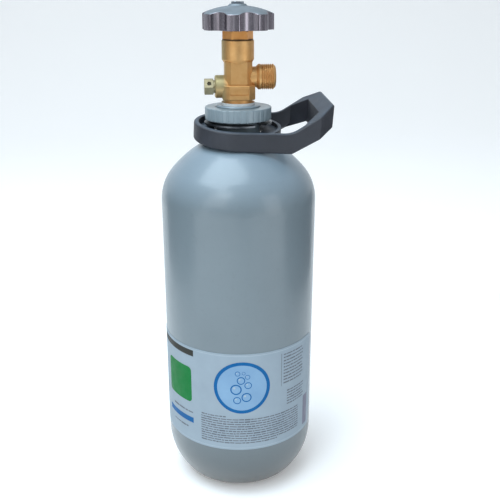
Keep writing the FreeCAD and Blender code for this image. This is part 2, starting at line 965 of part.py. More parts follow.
def make_gland_nut():
    seat = dim("valve_barrel_top") + dim("gland_seat_gap")
    top = dim("gland_top")
    bottom = dim("gland_bottom")
    head = chamfered_hex("gland_hex", dim("gland_flats"), top - seat, dim("hex_chamfer"), z=seat)
    thread = cylinder("gland_thread", dim("gland_thread_radius"), seat - bottom, z=bottom)
    hole = cylinder("gland_hole", dim("gland_hole"), top - bottom, z=bottom)
    nut = cut("gland_nut", fuse("gland_solid", head, thread), hole)
    place(nut, yaw=dim("gland_turn"))
    return nut


def make_gland_washer():
    gap = dim("washer_gap")
    inner = dim("gland_bore") + gap
    height = dim("gland_seat_gap") - 2 * gap
    return ring("gland_washer", inner, dim("gland_washer_outer"), height, z=dim("valve_barrel_top") + gap)


def make_thrust_washer():
    gap = dim("washer_gap")
    bottom = dim("collar_top") + gap
    height = dim("gland_bottom") - gap - bottom
    inner = dim("thrust_washer_hole")
    return ring("thrust_washer", inner, dim("collar_radius"), height, z=bottom)


def make_spindle():
    radius = dim("spindle_radius")
    collar = dim("collar_radius")
    groove = dim("seal_groove_bottom")
    groove_top = groove + dim("seal_groove_height")
    shoulder = dim("spindle_shoulder")
    drive_top = dim("drive_top")
    tip = dim("spindle_tip")
    tip_radius = dim("spindle_tip_radius")
    tip_edge = dim("spindle_tip_edge")
    round_part = turned(
        "spindle_round",
        [
            (ZERO, dim("collar_bottom")),
            (collar, dim("collar_bottom")),
            (collar, dim("collar_top")),
            (radius, dim("collar_top")),
            (radius, groove),
            (dim("seal_groove_radius"), groove),
            (dim("seal_groove_radius"), groove_top),
            (radius, groove_top),
            (radius, shoulder),
            (tip_radius, shoulder),
            (tip_radius, tip - tip_edge),
            (tip_radius - tip_edge, tip),
            (ZERO, tip),
        ],
    )
    width = dim("drive_width")
    square = box("spindle_square", width, width, drive_top - shoulder, z=shoulder)
    tang_height = dim("collar_bottom") - dim("tang_bottom")
    tang = box("spindle_tang", dim("tang_width"), dim("tang_thickness"), tang_height, z=dim("tang_bottom"))
    return fuse("spindle", round_part, square, tang)


def make_spindle_o_ring():
    wire = dim("seal_wire_radius")
    thing = doc.addObject("Part::Torus", "spindle_o_ring")
    bind(thing, Radius1=(dim("seal_groove_radius") + dim("gland_hole")) / 2, Radius2=wire)
    place(thing, z=dim("seal_groove_bottom") + dim("seal_groove_height") / 2)
    return thing


def make_valve_plug():
    """The screwed plug that the spindle's tang turns: it rises from the seat as it unscrews."""
    bottom = dim("plug_bottom")
    top = dim("plug_top")
    nose = dim("plug_nose_radius")
    nose_top = dim("plug_nose_top")
    radius = dim("plug_radius")
    edge = dim("plug_edge")
    blank = turned(
        "plug_blank",
        [
            (ZERO, bottom),
            (nose, bottom),
            (nose, nose_top),
            (radius, nose_top + dim("plug_nose_flare")),
            (radius, top - edge),
            (radius - edge, top),
            (ZERO, top),
        ],
    )
    slot_bottom = dim("plug_slot_bottom")
    slot_width = dim("tang_thickness") + 2 * dim("plug_slot_gap")
    slot = box("plug_slot", 3 * radius, slot_width, top + 1 - slot_bottom, z=slot_bottom)
    pocket_radius = dim("seat_radius") + dim("washer_gap")
    pocket = cylinder("seat_pocket", pocket_radius, dim("seat_top") + dim("washer_gap") - bottom, z=bottom)
    return cut("valve_plug", blank, slot, pocket)


def make_seat_insert():
    bottom = dim("seat_bottom")
    return cylinder("seat_insert", dim("seat_radius"), dim("seat_top") - bottom, z=bottom)


# ---------------------------------------------------------------- the handwheel


def wheel_blank():
    """The wheel before its valleys are cut: crowned top, deep rim, hub, and a recess for the nut."""
    outer = dim("wheel_radius")
    bottom = dim("wheel_bottom")
    crown = dim("wheel_crown_radius")
    centre_z = dim("wheel_crown") - crown
    boss = dim("wheel_boss_radius")
    boss_top = dim("wheel_boss_top")
    boss_foot = boss + dim("wheel_boss_foot")
    boss_edge = dim("wheel_boss_edge")
    recess = dim("wheel_recess_radius")
    floor = dim("drive_top")
    hub = dim("wheel_hub_radius")
    skirt = dim("wheel_skirt_inner")
    web = dim("wheel_web_bottom")

    def crown_height(radius):
        return centre_z + root(crown * crown - radius * radius)

    return turned(
        "wheel_blank",
        [
            (ZERO, bottom),
            (hub, bottom),
            (hub + dim("wheel_hub_draft"), web),
            (skirt - dim("wheel_skirt_draft"), web - dim("wheel_web_fall")),
            (skirt, bottom),
            (outer, bottom),
            (outer, crown_height(outer), crown),
            (boss_foot, crown_height(boss_foot)),
            (boss, boss_top - boss_edge),
            (boss - boss_edge, boss_top),
            (recess, boss_top),
            (recess, floor),
            (ZERO, floor),
        ],
    )


def wheel_outline_cutters():
    """The seven-lobed outline, padded tall: what it leaves of the blank is the wheel."""
    lobes = DIMENSIONS["wheel_lobes"]
    outer = dim("wheel_radius")
    valley = dim("wheel_valley")
    curve = dim("wheel_valley_radius")
    depth = valley + curve
    height = dim("wheel_boss_top") - dim("wheel_bottom") + 2
    bottom = dim("wheel_bottom") - 1
    disc = cylinder("lobed_disc", outer, height, z=bottom)
    first = dim("wheel_first_lobe") + 180 / lobes
    cutters = []
    for number in range(lobes):
        turn = first + number * 360 / lobes
        cutters.append(
            cylinder(
                f"valley_{number + 1}",
                curve,
                height,
                x=depth * cosine(turn),
                y=depth * sine(turn),
                z=bottom,
            )
        )
    star = cut("lobed_star", disc, *cutters)
    return rounded("lobed_outline", star, dim("wheel_lobe_rounding"), is_lobe_corner)


def is_lobe_corner(edge):
    radius = math.hypot(middle(edge).x, middle(edge).y)
    return is_vertical(edge) and radius > DIMENSIONS["wheel_valley"] + 1


def make_handwheel():
    lobed = common("wheel_lobed", wheel_blank(), wheel_outline_cutters())
    width = dim("drive_width") + 2 * dim("drive_gap")
    height = dim("drive_top") - dim("wheel_bottom")
    hole = box("wheel_square_hole", width, width, height, z=dim("wheel_bottom"))
    rough = cut("wheel_rough", lobed, hole)
    bottom = DIMENSIONS["wheel_bottom"]

    def is_rim_edge(edge):
        point = middle(edge)
        far_out = math.hypot(point.x, point.y) > DIMENSIONS["wheel_valley"] - 0.5
        return far_out and not is_vertical(edge) and point.z > bottom + 1

    return rounded("handwheel", rough, dim("wheel_edge"), is_rim_edge)


def make_wheel_spring():
    """The spring that pulls the spindle's collar up against its thrust washer."""
    radius = dim("spring_radius")
    bottom = dim("spring_bottom")
    helix = doc.addObject("Part::Helix", "spring_path")
    bind(helix, Pitch=dim("spring_pitch"), Height=dim("spring_height"), Radius=radius)
    place(helix, z=bottom)
    wire = doc.addObject("Part::Circle", "spring_section")
    bind(wire, Radius=dim("spring_wire"))
    place(wire, x=radius, z=bottom, roll=90)
    spring = doc.addObject("Part::Sweep", "wheel_spring")
    spring.Sections = [wire]
    spring.Spine = (helix, ["Edge1"])
    spring.Solid = True
    spring.Frenet = True
    return spring


def make_wheel_washer():
    inner = dim("spindle_tip_radius") + 0.1
    bottom = dim("wheel_washer_bottom")
    return ring("wheel_washer", inner, dim("wheel_washer_outer"), dim("wheel_washer_height"), z=bottom)


def make_wheel_nut():
    bottom = dim("wheel_washer_bottom") + dim("wheel_washer_height")
    height = dim("wheel_nut_top") - bottom
    blank = chamfered_hex("wheel_nut_hex", dim("wheel_nut_flats"), height, dim("wheel_nut_edge"), z=bottom)
    return cut("wheel_nut", blank, cylinder("wheel_nut_bore", dim("wheel_nut_hole"), height, z=bottom))


# ---------------------------------------------------------------- the safety device


def make_safety_plug():
    """The hexagonal plug that clamps the burst disc, vented through a hole across its head."""
    height = dim("safety_height")
    seat = dim("safety_seat")
    inner_end = seat + dim("gasket_thickness") + dim("disc_thickness") + 3 * dim("stack_gap")
    neck_end = dim("plug_neck_end")
    end = dim("plug_end")
    boss_end = dim("boss_end") + dim("stack_gap")
    neck = dim("plug_neck_radius")
    thread = dim("plug_thread_radius")
    shank = turned(
        "safety_shank",
        [
            (-inner_end, ZERO),
            (-inner_end, thread),
            (-boss_end, thread),
            (-boss_end, neck),
            (-neck_end - 1, neck),
            (-neck_end - 1, ZERO),
        ],
        "H_Axis",
    )
    place(shank, z=height)
    flats = dim("plug_flats")
    head = prism("safety_hex", flats, end - neck_end, x=-neck_end, z=height, yaw=90, roll=-90)
    corner = flats / math.sqrt(3)
    chamfer = dim("hex_chamfer")
    turned_head = turned(
        "safety_head",
        [
            (-neck_end, ZERO),
            (-neck_end, corner - chamfer / 2),
            (-neck_end - chamfer / 2, corner),
            (chamfer / 2 - end, corner),
            (-end, corner - chamfer / 2),
            (-end, ZERO),
        ],
        "H_Axis",
    )
    place(turned_head, z=height)
    vent_length = dim("plug_vent_end") - inner_end
    vent_radius = dim("plug_vent_radius")
    vent = cylinder("safety_vent", vent_radius, vent_length, x=-dim("plug_vent_end"), z=height, pitch=90)
    tilt = dim("plug_hole_tilt")
    reach = flats
    cross = cylinder(
        "safety_cross_hole",
        dim("plug_hole_radius"),
        2 * reach,
        x=-dim("plug_hole_centre"),
        y=-reach * sine(tilt),
        z=height + reach * cosine(tilt),
        roll=180 + tilt,
    )
    solid = fuse("safety_solid", shank, common("safety_hex_head", head, turned_head))
    return cut("safety_plug", solid, vent, cross)


def make_safety_gasket():
    x = -dim("safety_seat") - dim("gasket_thickness") - dim("stack_gap")
    where = {"x": x, "z": dim("safety_height"), "pitch": 90}
    inner = dim("gasket_hole_radius")
    return ring("safety_gasket", inner, dim("gasket_radius"), dim("gasket_thickness"), **where)


def make_burst_disc():
    stack = dim("gasket_thickness") + dim("disc_thickness") + 2 * dim("stack_gap")
    where = {"x": -dim("safety_seat") - stack, "z": dim("safety_height"), "pitch": 90}
    return cylinder("burst_disc", dim("gasket_radius"), dim("disc_thickness"), **where)


# ---------------------------------------------------------------- assembly and export

MAKERS = (
    make_shell,
    make_neck_ring,
    make_snap_ring,
    make_label,
    make_handle,
    make_valve_body,
    make_seal_tape,
    make_gland_nut,
    make_gland_washer,
    make_thrust_washer,
    make_spindle,
    make_spindle_o_ring,
    make_valve_plug,
    make_seat_insert,
    make_handwheel,
    make_wheel_spring,
    make_wheel_washer,
    make_wheel_nut,
    make_safety_plug,
    make_safety_gasket,
    make_burst_disc,
)


def check_document(subparts):
    """Stop before writing anything if an object failed or a sub-part isn't one valid solid."""
    failed = [item.Name for item in doc.Objects if {"Invalid", "Error"} & set(item.State)]
    if failed:
        raise RuntimeError(f"these failed to recompute: {failed}")
    for subpart in subparts:
        shape = subpart.Shape
        if shape.isNull() or not shape.isValid():
            raise RuntimeError(f"{subpart.Label} has no valid shape")
        if len(shape.Solids) != 1:
            raise RuntimeError(f"{subpart.Label} has {len(shape.Solids)} solids")


def main():
    subparts = [make() for make in MAKERS]
    doc.recompute()
    check_document(subparts)
    os.makedirs("parts", exist_ok=True)
    for subpart in subparts:
        subpart.Shape.exportStep(os.path.join("parts", subpart.Label + ".step"))
        print(f"{subpart.Label}: {subpart.Shape.Volume / 1000:.2f} cm3")


main()
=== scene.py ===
import math
import random

import bmesh
import bpy
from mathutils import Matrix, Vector


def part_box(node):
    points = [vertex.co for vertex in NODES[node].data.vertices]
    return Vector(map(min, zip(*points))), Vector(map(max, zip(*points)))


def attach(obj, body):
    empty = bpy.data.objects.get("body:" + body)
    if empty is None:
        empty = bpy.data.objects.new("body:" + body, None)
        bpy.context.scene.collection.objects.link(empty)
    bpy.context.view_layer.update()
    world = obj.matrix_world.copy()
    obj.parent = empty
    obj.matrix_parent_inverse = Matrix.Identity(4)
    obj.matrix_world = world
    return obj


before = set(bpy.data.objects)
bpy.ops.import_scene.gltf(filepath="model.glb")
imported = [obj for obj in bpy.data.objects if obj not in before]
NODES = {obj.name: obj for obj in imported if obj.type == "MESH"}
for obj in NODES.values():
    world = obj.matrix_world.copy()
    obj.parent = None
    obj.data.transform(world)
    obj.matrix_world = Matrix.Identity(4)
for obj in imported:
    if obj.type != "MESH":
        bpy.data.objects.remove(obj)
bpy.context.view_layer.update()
MM = 0.001

# Most of a noise texture's values lie in this span
NOISE_SPAN = (0.3, 0.7)
NOISE_ROUGHNESS = 0.55

# Bump depths, in metres
PEEL_DEPTH = 0.00012
PLASTIC_DEPTH = 0.00008
METAL_DEPTH = 0.00004
STEEL_DEPTH = 0.00003
FILM_DEPTH = 0.00004
SEAL_DEPTH = 0.00006

# Painted shade near the floor fades out at this height, and the boss's painted highlight runs between
# these places along X
PAINTED_SHADE_TOP = 0.085
BOSS_HIGHLIGHT_START, BOSS_HIGHLIGHT_FULL = -0.010, -0.0135

# The label lies on the barrel. A place on it is (along, height): millimetres round the barrel from
# the azimuth that faces the camera side, and millimetres above the floor.
LABEL_FRONT = math.radians(-90)
LABEL_LOW, LABEL_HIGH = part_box("label")
LABEL_SKIN = 70.28 * MM
LABEL_ENDS = (-129, 82)
INK = 0.03 * MM
PRINT_FACET = 3
BORDER_INSET = 1.6
BORDER_LINE = 0.6
BORDER_CORNER = 4.6

# Rectangles of print: (left, low, right, high)
STRIP = (-118, 145.5, -51, 151.5)
STRIPE = (-91, 76, -52.5, 81.5)
COLUMN_RULE = (33.8, 116, 34.3, 149)
PANEL = (66, 61, 75, 93)
PANEL_CORNER = 1.2

SQUARE_X, SQUARE_Y, SQUARE_HALF, SQUARE_CORNER = -72, 115.5, 18, 4
BADGE_X, BADGE_Y, BADGE_RADIUS, BADGE_LINE = -4, 120.5, 26, 3.2
# (along, up, radius) of the badge's bubbles, from its middle
BUBBLES = (
    (-4.5, -12.5, 3.6),
    (4.0, -9.5, 4.6),
    (-5.5, -1.5, 5.2),
    (5.5, 2.5, 3.4),
    (-1.0, 7.5, 3.8),
    (5.0, 11.0, 2.3),
    (-4.0, 14.5, 2.4),
    (1.5, 14.8, 1.6),
)
BUBBLE_COUNT, GLINT_COUNT = 28, 12
# Shares of a bubble's radius
BUBBLE_HOLE, GLINT_SHIFT, GLINT_SIZE = 0.78, 0.3, 0.22

# Greeked print. Lines are (left, right, base, letter height).
PRINT_SEED = 7
HEADING = (-43, -19, 90, 1.2)
SIDE_LINES = ((-82, -53, 86.3, 1.6), (-82, -58, 69.5, 1.4))
PARAGRAPH_LEFT, PARAGRAPH_RIGHT, LAST_LINE_RIGHT = -43.5, 57, 30
PARAGRAPH_TOP, PARAGRAPH_LOW, LAST_LINE, PARAGRAPH_PITCH = 87.4, 61, 64, 2.45
PARAGRAPH_TALL = 1.2
# Columns are (left, right, raggedness, top base, pitch, letter height, number of lines)
COLUMNS = ((36.5, 64, 2.5, 147, 3.2, 1.3, 10), (41, 66, 3, 109, 2.8, 1.2, 6))
# Sizes of a word, as shares of the letter height, and the share of words with a descender
WORD_SHORTEST, WORD_LONGEST, WORD_GAP = 1.4, 5.5, 0.5
WORD_LOWEST, WORD_HIGHEST, DESCENDER = 0.72, 1.0, 0.18
DESCENDER_SHARE = 0.3

# The camera stands in front, a little to the plug's side, and looks down
CAMERA_PLACE = (-0.0596, -0.6671, 0.4617)
CAMERA_DIP, CAMERA_TURN = 19.27, -6
CAMERA_LENS, CAMERA_SENSOR = 54.4, 36.0

# The floor runs back to where it sweeps up into a wall, in metres
FLOOR_FRONT, FLOOR_HALF_WIDTH = -5.0, 5.0
SWEEP_START, SWEEP_RADIUS, SWEEP_STEPS, WALL_TOP = 1.6, 1.4, 12, 4.0
BACKDROP_GLOW = 0.16

SKY_HORIZON = (0.30, 0.31, 0.33, 1)
SKY_OVERHEAD = (0.86, 0.94, 1.0, 1)
SKY_OVERHEAD_AT, SKY_STRENGTH = 0.9, 0.82

CENTRE = (0, 0, 0.25)
# (name, place, target, (across, up), watts, colour)
LIGHTS = (
    ("overhead", (-0.42, -0.22, 1.55), CENTRE, (1.1, 1.1), 22, (0.77, 0.91, 1.0)),
    ("window", (-0.5, -0.95, 1.12), (0, 0, 0.3), (0.5, 0.4), 2.6, (0.8, 0.92, 1.0)),
    ("key", (-0.95, -1.3, 1.0), CENTRE, (0.8, 1.0), 4.6, (1.0, 0.985, 0.96)),
    ("strip", (-0.95, -0.72, 0.3), (0, 0, 0.4), (0.2, 0.8), 0.5, (1, 1, 1)),
    ("fill", (1.2, -1.2, 0.6), CENTRE, (0.7, 1.2), 4.6, (0.96, 0.98, 1.0)),
)
# (name, place, target, (across, up))
CARDS = (
    ("card_front", (0.05, -1.0, 0.2), (0, 0, 0.2), (0.3, 0.4)),
    ("card_right", (0.52, 0.06, 0.12), (0, 0, 0.12), (0.7, 0.28)),
    ("card_left", (-0.58, 0.1, 0.14), (0, 0, 0.14), (0.7, 0.32)),
)


# ---------------------------------------------------------------- materials


class Paint:
    """A node material that is built up a node at a time."""

    def __init__(self, name):
        self.material = bpy.data.materials.new(name)
        self.material.use_nodes = True
        self.tree = self.material.node_tree
        self.shader = self.tree.nodes["Principled BSDF"]
        self.place = self.tree.nodes.new("ShaderNodeTexCoord").outputs["Object"]

    def set(self, **values):
        """Constant values on the shader's own sockets."""
        for name, value in values.items():
            self.shader.inputs[name.replace("_", " ")].default_value = value

    def link(self, source, target):
        self.tree.links.new(source, target)

    def add(self, kind, **settings):
        node = self.tree.nodes.new(kind)
        for name, value in settings.items():
            setattr(node, name, value)
        return node

    def stretched(self, scale):
        """The object's coordinates, scaled along each axis."""
        node = self.add("ShaderNodeMapping")
        node.inputs["Scale"].default_value = scale
        self.link(self.place, node.inputs["Vector"])
        return node.outputs["Vector"]

    def noise(self, scale, detail=4.0, where=None, distortion=0.0):
        node = self.add("ShaderNodeTexNoise")
        node.inputs["Scale"].default_value = scale
        node.inputs["Detail"].default_value = detail
        node.inputs["Roughness"].default_value = NOISE_ROUGHNESS
        node.inputs["Distortion"].default_value = distortion
        self.link(where or self.place, node.inputs["Vector"])
        return node.outputs["Fac"]

    def cells(self, scale):
        node = self.add("ShaderNodeTexVoronoi")
        node.inputs["Scale"].default_value = scale
        self.link(self.place, node.inputs["Vector"])
        return node.outputs["Distance"]

    def ramp(self, source, low, high, start=0.0, end=1.0):
        """Maps source from start..end on to low..high, held at the ends."""
        node = self.add("ShaderNodeMapRange")
        node.inputs["From Min"].default_value = start
        node.inputs["From Max"].default_value = end
        node.inputs["To Min"].default_value = low
        node.inputs["To Max"].default_value = high
        self.link(source, node.inputs["Value"])
        return node.outputs["Result"]

    def spread(self, noise, low, high):
        """Maps a noise on to low..high."""
        return self.ramp(noise, low, high, *NOISE_SPAN)

    def math(self, operation, first, second):
        node = self.add("ShaderNodeMath", operation=operation)
        for socket, value in zip(node.inputs, (first, second)):
            if isinstance(value, (int, float)):
                socket.default_value = value
            else:
                self.link(value, socket)
        return node.outputs["Value"]

    def mix(self, share, first, second):
        """A mix of two colours, by share."""
        node = self.add("ShaderNodeMix", data_type="RGBA")
        self.link(share, node.inputs["Factor"])
        for socket, value in ((node.inputs["A"], first), (node.inputs["B"], second)):
            if isinstance(value, tuple):
                socket.default_value = (*value, 1.0)
            else:
                self.link(value, socket)
        return node.outputs["Result"]

    def normal_z(self):
        """How far a face looks upwards, from -1 to 1."""
        geometry = self.add("ShaderNodeNewGeometry")
        split = self.add("ShaderNodeSeparateXYZ")
        self.link(geometry.outputs["Normal"], split.inputs["Vector"])
        return split.outputs["Z"]

    def axis(self, name):
        """The object's own X, Y or Z, in metres."""
        split = self.add("ShaderNodeSeparateXYZ")
        self.link(self.place, split.inputs["Vector"])
        return split.outputs[name]

    def colour(self, source):
        self.link(source, self.shader.inputs["Base Color"])

    def roughness(self, source):
        self.link(source, self.shader.inputs["Roughness"])

    def bump(self, source, depth, strength):
        """Bump from a height, where a height of 1 stands depth metres proud."""
        node = self.add("ShaderNodeBump")
        node.inputs["Strength"].default_value = strength
        node.inputs["Distance"].default_value = depth
        self.link(source, node.inputs["Height"])
        self.link(node.outputs["Normal"], self.shader.inputs["Normal"])


def srgb(red, green, blue):
    """A colour from its usual 0 to 255 values to the linear values that Blender uses."""

    def linear(value):
        value /= 255
        return value / 12.92 if value <= 0.04045 else ((value + 0.055) / 1.055) ** 2.4

    return (linear(red), linear(green), linear(blue))


def enamel(name, body, pale, dark, painted_shade=None, dust_and_sky_sheen=None):
    """Satin enamel over spun steel: orange peel, mottling, painted shade low down, and dust with a painted
    sky sheen on the shoulder.
    """
    paint = Paint(name)
    cloud = paint.noise(9.0, detail=5)
    speck = paint.noise(210.0, detail=3)
    base = paint.mix(paint.ramp(cloud, 0, 1, 0.35, 0.68), body, pale)
    base = paint.mix(paint.ramp(speck, 0, 0.3, 0.58, 0.8), base, dark)
    # Painted shade: the enamel turns darker towards the floor, in soft patches.
    if painted_shade:
        low_down = paint.ramp(paint.axis("Z"), 1, 0, 0.0, PAINTED_SHADE_TOP)
        patches = paint.spread(cloud, 0.85, 1.0)
        base = paint.mix(paint.math("MULTIPLY", low_down, patches), base, painted_shade)
    # Dust, with a painted sheen of sky light: faces that look upwards turn paler and bluer.
    if dust_and_sky_sheen:
        settled = paint.ramp(paint.normal_z(), 0, 0.5, 0.1, 0.85)
        patches = paint.spread(cloud, 0.8, 1.0)
        base = paint.mix(paint.math("MULTIPLY", settled, patches), base, dust_and_sky_sheen)
    paint.colour(base)
    smears = paint.noise(22.0, detail=6, where=paint.stretched((1, 1, 0.3)))
    paint.roughness(paint.ramp(smears, 0.34, 0.5, 0.35, 0.7))
    paint.set(Coat_Weight=0.5, Coat_Roughness=0.18, Metallic=0.0)
    paint.bump(paint.noise(420.0, detail=2), PEEL_DEPTH, 0.35)
    return paint.material


def moulded_plastic(name):
    """Dark moulded plastic with a fine spark-eroded grain, and upper faces paler and bluer: dust, with a
    painted sky highlight.
    """
    paint = Paint(name)
    grain = paint.cells(2600.0)
    cloud = paint.noise(40.0, detail=6)
    base = paint.mix(paint.ramp(cloud, 0, 1, 0.3, 0.75), srgb(37, 39, 46), srgb(47, 50, 58))
    # Dust, with a painted sky highlight: faces that look upwards turn paler and bluer.
    up = paint.ramp(paint.normal_z(), 0.0, 0.75, 0.55, 1.0)
    patches = paint.ramp(paint.noise(160.0), 0.5, 1.0, 0.35, 0.65)
    base = paint.mix(paint.math("MULTIPLY", up, patches), base, srgb(72, 84, 97))
    paint.colour(base)
    paint.roughness(paint.spread(cloud, 0.42, 0.6))
    paint.set(Specular_IOR_Level=0.45)
    paint.bump(grain, PLASTIC_DEPTH, 0.5)
    return paint.material


def brass(name, body, pale, dark, cast=0.0, lines=0.0, boss_highlight=None):
    """Brass: cast skin gives a grainy bump, lines gives fine turning marks, and the boss colour is a
    painted highlight on the safety boss's upper faces.
    """
    paint = Paint(name)
    cloud = paint.noise(120.0, detail=6)
    tarnish = paint.noise(60.0, detail=7, distortion=0.4)
    base = paint.mix(paint.spread(cloud, 0, 1), body, pale)
    # Painted highlight on the safety boss: its upper faces turn paler out along -X.
    if boss_highlight:
        outwards = paint.ramp(paint.axis("X"), 1, 0, BOSS_HIGHLIGHT_FULL, BOSS_HIGHLIGHT_START)
        upper = paint.ramp(paint.normal_z(), 0.2, 1, -0.7, 0.2)
        base = paint.mix(paint.math("MULTIPLY", outwards, upper), base, boss_highlight)
    base = paint.mix(paint.ramp(tarnish, 0, 0.35, 0.54, 0.8), base, dark)
    paint.colour(base)
    wear = paint.noise(420.0, detail=4)
    paint.roughness(paint.ramp(wear, 0.4, 0.53, 0.3, 0.72))
    paint.set(Metallic=0.88)
    grainy = paint.noise(1500.0, detail=3)
    turned = paint.noise(1.0, detail=2, where=paint.stretched((0.5, 0.5, 5200.0)))
    skin = paint.math("MULTIPLY", grainy, cast)
    marks = paint.math("MULTIPLY", turned, lines)
    paint.bump(paint.math("ADD", skin, marks), METAL_DEPTH, 0.5)
    return paint.material


def wheel_alloy(name):
    """Cast alloy: the crowned top is a matt lacquer, and the fluted sides are bright, with painted
    reflection streaks in their colour.
    """
    paint = Paint(name)
    up = paint.ramp(paint.normal_z(), 0, 1, 0.25, 0.6)
    cloud = paint.noise(70.0, detail=5)
    reflection_streaks = paint.noise(300.0, detail=3, where=paint.stretched((1, 1, 0.05)))
    # The sides' colour is streaked with painted reflections.
    side = paint.mix(paint.ramp(reflection_streaks, 0, 1, 0.35, 0.65), srgb(132, 127, 135), srgb(158, 152, 160))
    top = paint.mix(paint.spread(cloud, 0, 1), srgb(103, 112, 119), srgb(121, 130, 138))
    paint.colour(paint.mix(up, side, top))
    polish = paint.spread(reflection_streaks, 0.17, 0.28)
    matt = paint.spread(cloud, 0.5, 0.62)
    blend = paint.add("ShaderNodeMix")
    paint.link(up, blend.inputs["Factor"])
    paint.link(polish, blend.inputs["A"])
    paint.link(matt, blend.inputs["B"])
    paint.roughness(blend.outputs["Result"])
    paint.link(paint.ramp(up, 1.0, 0.45), paint.shader.inputs["Metallic"])
    paint.bump(paint.noise(1800.0, detail=3), METAL_DEPTH, 0.2)
    return paint.material


def steel(name, body, dark):
    """Bare or plated steel, or foil, with faint lines."""
    paint = Paint(name)
    cloud = paint.noise(150.0, detail=6)
    paint.colour(paint.mix(paint.ramp(cloud, 0, 1, 0.35, 0.7), body, dark))
    lines = paint.noise(800.0, detail=3, where=paint.stretched((1, 1, 0.2)))
    paint.roughness(paint.spread(lines, 0.25, 0.45))
    paint.set(Metallic=1.0)
    paint.bump(lines, STEEL_DEPTH, 0.5)
    return paint.material


def film(name, body, pale):
    """Printed label film or ink: a slight sheen, faint mottling and tiny ripples."""
    paint = Paint(name)
    cloud = paint.noise(55.0, detail=4)
    paint.colour(paint.mix(paint.ramp(cloud, 0, 1, 0.3, 0.72), body, pale))
    paint.roughness(paint.spread(paint.noise(180.0, detail=3), 0.42, 0.56))
    paint.set(Specular_IOR_Level=0.15)
    paint.bump(paint.noise(260.0, detail=2), FILM_DEPTH, 0.3)
    return paint.material


def soft_seal(name, body, pale):
    """Rubber, fibre, nylon or tape."""
    paint = Paint(name)
    cloud = paint.noise(300.0, detail=5)
    paint.colour(paint.mix(paint.spread(cloud, 0, 1), body, pale))
    paint.roughness(paint.spread(cloud, 0.5, 0.7))
    weave = paint.noise(1400.0, detail=3, where=paint.stretched((1, 1, 2.5)))
    paint.bump(weave, SEAL_DEPTH, 0.5)
    return paint.material


def coat(material, *names):
    """Give CAD nodes this material."""
    for name in names:
        mesh = NODES[name].data
        mesh.materials.clear()
        mesh.materials.append(material)


def finish_cad_nodes():
    shell = enamel(
        "shell_enamel",
        srgb(101, 114, 121),
        srgb(108, 121, 128),
        srgb(92, 104, 111),
        # colour of the painted shade near the floor
        painted_shade=srgb(52, 52, 48),
        # dust, with a painted sheen of sky light, on upward faces
        dust_and_sky_sheen=srgb(128, 149, 166),
    )
    coat(shell, "cylinder_shell")
    # The ring wears the shell's enamel, made paler: painted light.
    ring = enamel("ring_enamel", srgb(111, 126, 134), srgb(119, 134, 142), srgb(98, 111, 119))
    coat(ring, "neck_ring")
    coat(moulded_plastic("handle_plastic"), "carry_handle")

    forged = brass(
        "forged_brass",
        srgb(201, 153, 96),
        srgb(211, 167, 111),
        srgb(160, 116, 67),
        cast=0.7,
        lines=0.2,
        # colour of the painted highlight on the safety boss
        boss_highlight=srgb(174, 162, 122),
    )
    coat(forged, "valve_body")
    gland = brass("gland_brass", srgb(228, 160, 92), srgb(238, 176, 106), srgb(170, 112, 58), lines=0.5)
    coat(gland, "gland_nut")
    pale = brass("pale_brass", srgb(152, 142, 112), srgb(168, 158, 130), srgb(108, 97, 68), lines=0.3)
    coat(pale, "safety_plug")
    turned = brass("turned_brass", srgb(208, 168, 104), srgb(222, 184, 122), srgb(156, 116, 66), lines=0.8)
    coat(turned, "spindle", "valve_plug")

    coat(wheel_alloy("wheel_lacquer"), "handwheel")
    spring = steel("spring_steel", srgb(120, 124, 128), srgb(84, 88, 94))
    coat(spring, "handle_retaining_ring", "wheel_spring")
    coat(steel("plated_steel", srgb(150, 160, 170), srgb(116, 126, 138)), "wheel_nut", "wheel_washer")
    coat(steel("rolled_foil", srgb(180, 178, 172), srgb(150, 148, 142)), "burst_disc")
    copper = brass("soft_copper", srgb(200, 120, 84), srgb(216, 140, 100), srgb(150, 80, 56))
    coat(copper, "safety_gasket")

    coat(soft_seal("ptfe_tape", srgb(186, 191, 192), srgb(204, 208, 208)), "thread_seal_tape")
    coat(soft_seal("dark_fibre", srgb(44, 38, 32), srgb(62, 54, 46)), "gland_washer")
    coat(soft_seal("nitrile", srgb(26, 26, 27), srgb(36, 36, 38)), "spindle_o_ring")
    coat(soft_seal("nylon", srgb(222, 218, 204), srgb(232, 229, 218)), "thrust_washer", "seat_insert")
    coat(film("label_film", srgb(140, 154, 165), srgb(146, 160, 171)), "label")


# ---------------------------------------------------------------- the label's print


def on_barrel(along, height, lift):
    """A place on the label, as a point of space."""
    angle = LABEL_FRONT + along * MM / LABEL_SKIN
    radius = LABEL_SKIN + lift
    return Vector((radius * math.cos(angle), radius * math.sin(angle), height * MM))


def rectangle(left, low, right, high):
    return [(left, low), (right, low), (right, high), (left, high)]


def rounded_rectangle(left, low, right, high, radius, steps=5):
    """A rectangle whose corners are quarter circles."""
    centres = [
        (right - radius, high - radius, 0),
        (left + radius, high - radius, 90),
        (left + radius, low + radius, 180),
        (right - radius, low + radius, 270),
    ]
    points = []
    for x, y, start in centres:
        for step in range(steps + 1):
            angle = math.radians(start + 90 * step / steps)
            points.append((x + radius * math.cos(angle), y + radius * math.sin(angle)))
    return points


def circle(x, y, radius, count=64):
    turns = [2 * math.pi * step / count for step in range(count)]
    return [(x + radius * math.cos(turn), y + radius * math.sin(turn)) for turn in turns]


